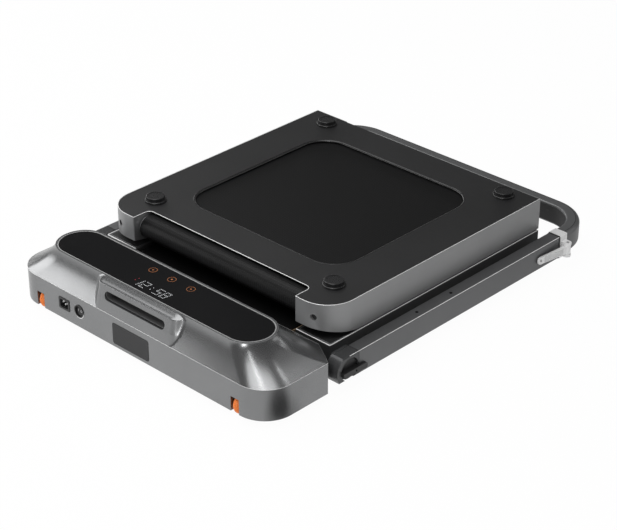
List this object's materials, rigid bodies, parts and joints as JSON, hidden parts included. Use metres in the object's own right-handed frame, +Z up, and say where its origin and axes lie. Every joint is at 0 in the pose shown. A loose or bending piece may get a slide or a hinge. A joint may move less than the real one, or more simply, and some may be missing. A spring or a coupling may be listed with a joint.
{
  "type": "walking_pad",
  "caption": "Folding walking pad with a motor head, black control panel, folded belt deck, side handrail posts, telescopic grab bar with clamp levers and small transport wheels",
  "frame": {"origin": "on the floor below the middle of the folded pad", "axes": "+Y from the motor head to the fold end, +X to the right seen from the head, +Z up"},
  "size_m": [0.762, 1, 0.1661],
  "materials": {
    "head_shell": "satin gun-metal grey",
    "panel_glass": "gloss black",
    "trim_chrome": "bright",
    "black_plastic": "fine grain",
    "rail_paint": "anodised dark grey",
    "bottom_sheet": "fine grain",
    "foot_rubber": "matt",
    "strip_rubber": "grooved",
    "walking_belt": "fine weave",
    "board_wood": "plain board",
    "frame_steel": "black",
    "roller_steel": "turned",
    "post_paint": "satin dark grey",
    "knuckle_plastic": "satin",
    "inner_alloy": "satin",
    "clamp_alloy": "satin silver",
    "wheel_orange": "satin"
  },
  "bodies": {
    "base": {"head_base_pan": "head_shell", "head_top_cover": "head_shell", "panel_trim": "trim_chrome", "control_glass": "panel_glass", "display_board": "black_plastic", "handle_pocket": "black_plastic", "power_inlet": "black_plastic", "switch_bezel": "black_plastic", "drive_motor": "frame_steel", "motor_controller": "black_plastic", "drive_belt": "foot_rubber", "front_roller_axle": "roller_steel", "frame_tubes": "frame_steel", "front_rail_left": "rail_paint", "front_rail_right": "rail_paint", "front_foot_strips": "strip_rubber", "front_deck_board": "board_wood", "front_belt": "walking_belt", "front_cross_beams": "frame_steel", "front_deck_cushions": "foot_rubber", "front_bottom_plate": "bottom_sheet", "front_feet": "foot_rubber", "handrail_brackets": "rail_paint", "handrail_pivot_pins": "roller_steel", "wheel_axles": "roller_steel", "fold_hinge_front_leaves": "frame_steel", "fold_hinge_pins": "roller_steel"},
    "rear_deck": {"rear_rail_left": "rail_paint", "rear_rail_right": "rail_paint", "rear_foot_strips": "strip_rubber", "rear_deck_board": "board_wood", "rear_belt": "walking_belt", "rear_cross_beams": "frame_steel", "rear_deck_cushions": "foot_rubber", "rear_bottom_plate": "bottom_sheet", "rear_feet": "foot_rubber", "rear_roller_axle": "roller_steel", "tension_bolts": "roller_steel", "fold_hinge_rear_leaves": "frame_steel"},
    "front_roller": {"front_roller": "roller_steel", "front_roller_pulley": "roller_steel", "front_roller_bearings": "roller_steel"},
    "rear_roller": {"rear_roller": "roller_steel", "rear_roller_bearings": "roller_steel"},
    "motor_pulley": {"motor_pulley": "roller_steel"},
    "wheel_left": {"wheel_left": "wheel_orange"},
    "wheel_right": {"wheel_right": "wheel_orange"},
    "power_rocker": {"power_rocker": "black_plastic"},
    "handrail": {"post_left": "post_paint", "post_right": "post_paint", "post_knuckles": "knuckle_plastic", "clamp_collars": "clamp_alloy", "lever_pins": "roller_steel"},
    "grab_bar": {"inner_tubes": "inner_alloy", "grab_bar": "post_paint", "grab_bar_liner": "strip_rubber"},
    "lever_left": {"lever_left": "clamp_alloy"},
    "lever_right": {"lever_right": "clamp_alloy"},
    "knob_left": {"knob_left": "knuckle_plastic"},
    "knob_right": {"knob_right": "knuckle_plastic"}
  },
  "joints": [
    {"name": "handrail_raise", "type": "hinge", "parent": "base", "child": "handrail", "pos_m": [0, -0.277, 0.0439], "axis": [1, 0, 0], "range_deg": [0, 90]},
    {"name": "deck_fold", "type": "hinge", "parent": "base", "child": "rear_deck", "pos_m": [0, 0.3465, 0.08305], "axis": [-1, 0, 0], "range_deg": [0, 138]},
    {"name": "bar_slide", "type": "slide", "parent": "handrail", "child": "grab_bar", "axis": [0, 1, 0], "range_m": [0, 0.12]},
    {"name": "lever_right_swing", "type": "hinge", "parent": "handrail", "child": "lever_right", "pos_m": [0.373, 0.374, 0.0469], "axis": [0, 0, 1], "range_deg": [0, 110]},
    {"name": "lever_left_swing", "type": "hinge", "parent": "handrail", "child": "lever_left", "pos_m": [-0.373, 0.374, 0.0469], "axis": [0, 0, -1], "range_deg": [0, 110]},
    {"name": "knob_right_turn", "type": "hinge", "parent": "handrail", "child": "knob_right", "pos_m": [0.355, -0.277, 0.0439], "axis": [1, 0, 0], "range_deg": [0, 90]},
    {"name": "knob_left_turn", "type": "hinge", "parent": "handrail", "child": "knob_left", "pos_m": [-0.355, -0.277, 0.0439], "axis": [1, 0, 0], "range_deg": [0, 90]},
    {"name": "front_roller_spin", "type": "hinge", "parent": "base", "child": "front_roller", "pos_m": [0, -0.368, 0.0521], "axis": [1, 0, 0], "continuous": true},
    {"name": "rear_roller_spin", "type": "hinge", "parent": "rear_deck", "child": "rear_roller", "pos_m": [0, -0.255, 0.1247], "axis": [1, 0, 0], "continuous": true},
    {"name": "motor_spin", "type": "hinge", "parent": "base", "child": "motor_pulley", "pos_m": [0.243, -0.436, 0.0554], "axis": [1, 0, 0], "continuous": true},
    {"name": "wheel_left_spin", "type": "hinge", "parent": "base", "child": "wheel_left", "pos_m": [-0.277, -0.4785, 0.0284], "axis": [1, 0, 0], "continuous": true},
    {"name": "wheel_right_spin", "type": "hinge", "parent": "base", "child": "wheel_right", "pos_m": [0.277, -0.4785, 0.0284], "axis": [1, 0, 0], "continuous": true},
    {"name": "rocker_tilt", "type": "hinge", "parent": "base", "child": "power_rocker", "pos_m": [-0.158, -0.4925, 0.0522], "axis": [1, 0, 0], "range_deg": [0, 12]}
  ],
  "couplings": [
    {"joint": "rear_roller_spin", "follows": "front_roller_spin", "ratio": 1.0862},
    {"joint": "motor_spin", "follows": "front_roller_spin", "ratio": 1.974}
  ]
}
